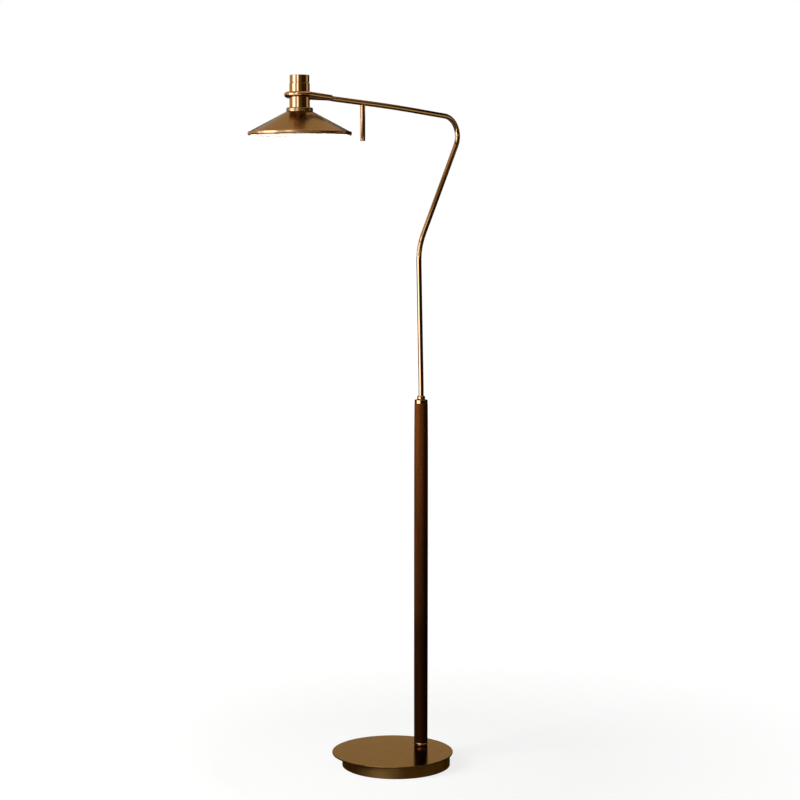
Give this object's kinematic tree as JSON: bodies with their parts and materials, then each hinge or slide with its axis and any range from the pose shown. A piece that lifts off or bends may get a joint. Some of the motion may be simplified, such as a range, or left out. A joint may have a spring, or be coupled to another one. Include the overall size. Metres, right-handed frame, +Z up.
{
  "type": "floor lamp",
  "caption": "Floor lamp with a round stepped foot, wood pole, bent swing-arm tube and a shallow cone shade held in a rod loop.",
  "frame": {"origin": "middle of the drum's underside, on the floor that the lamp stands on", "axes": "+Z up; the arm, pole and shade lie in the XZ plane, with the shade towards -X and the pole towards +X"},
  "size_m": [0.6154, 0.2852, 1.5991],
  "materials": {
    "plate_brass": "satin, fine brushed, aged brass tone",
    "drum_brass": "brushed round its side, aged brass tone",
    "shade_brass": "satin spun, aged brass tone",
    "rim_brass": "polished, aged brass tone",
    "tube_brass": "polished, aged brass tone",
    "turned_brass": "polished turned, aged brass tone",
    "wood": "dark stained walnut, satin lacquer",
    "ballast_iron": "as cast",
    "cover_steel": "zinc plated",
    "fastener_steel": "plain bright steel",
    "pad_rubber": "soft foamed pad",
    "black_plastic": "moulded, fine grain",
    "white_plastic": "moulded",
    "wire_sleeve": "soft sleeve",
    "reflector_white": "white satin enamel",
    "holder_white": "white, glazed",
    "contact_brass": "plain bright",
    "bulb_metal": "rolled thread",
    "bulb_glass": "opal"
  },
  "bodies": {
    "stand": {"base_top_plate": "plate_brass", "base_drum": "drum_brass", "base_ballast": "ballast_iron", "bottom_cover": "cover_steel", "bottom_cover_screws": "fastener_steel", "foot_pad": "pad_rubber", "plate_screws": "fastener_steel", "cable_gland": "black_plastic", "gland_nut": "black_plastic", "terminal_block": "white_plastic", "stand_wire": "wire_sleeve", "tie_rod": "fastener_steel", "tie_rod_washer": "fastener_steel", "tie_rod_nut": "fastener_steel", "foot_collar": "turned_brass", "wood_pole": "wood", "top_ferrule": "turned_brass", "swivel_socket": "turned_brass", "upper_bush": "black_plastic", "lower_bush": "black_plastic", "stop_peg": "fastener_steel", "thrust_washer": "black_plastic"},
    "arm": {"arm_tube": "tube_brass", "arm_collar": "turned_brass", "collar_grub_screw": "fastener_steel", "stop_pin": "fastener_steel", "handle_rod": "tube_brass", "roll_stop_screw": "fastener_steel", "arm_wire": "wire_sleeve"},
    "head": {"loop_bracket": "tube_brass", "loop_grub_screw": "fastener_steel", "lamp_housing": "turned_brass", "shade_flange": "shade_brass", "flange_screws": "fastener_steel", "shade_cone": "shade_brass", "shade_rim": "rim_brass", "shade_reflector": "reflector_white", "lampholder": "holder_white", "holder_ring": "black_plastic", "screw_shell": "contact_brass", "centre_contact": "contact_brass", "bulb_cap": "bulb_metal", "bulb_glass": "bulb_glass", "switch_body": "black_plastic", "dial_washer": "turned_brass", "switch_nut": "fastener_steel", "head_wire": "wire_sleeve"},
    "knob": {"switch_knob": "turned_brass", "switch_shaft": "fastener_steel", "knob_grub_screw": "fastener_steel"}
  },
  "joints": [
    {"name": "arm_swivel", "type": "hinge", "parent": "stand", "child": "arm", "pos_m": [0.082, 0, 0.861], "axis": [0, 0, 1], "range_deg": [-155, 155]},
    {"name": "head_roll", "type": "hinge", "parent": "arm", "child": "head", "pos_m": [-0.1961, 0, 1.55145], "axis": [-0.9982, 0, 0.0592], "range_deg": [-45, 45]},
    {"name": "switch_turn", "type": "hinge", "parent": "head", "child": "knob", "pos_m": [-0.2931, 0, 1.583], "axis": [0, 0, 1], "range_deg": [0, 270]}
  ]
}
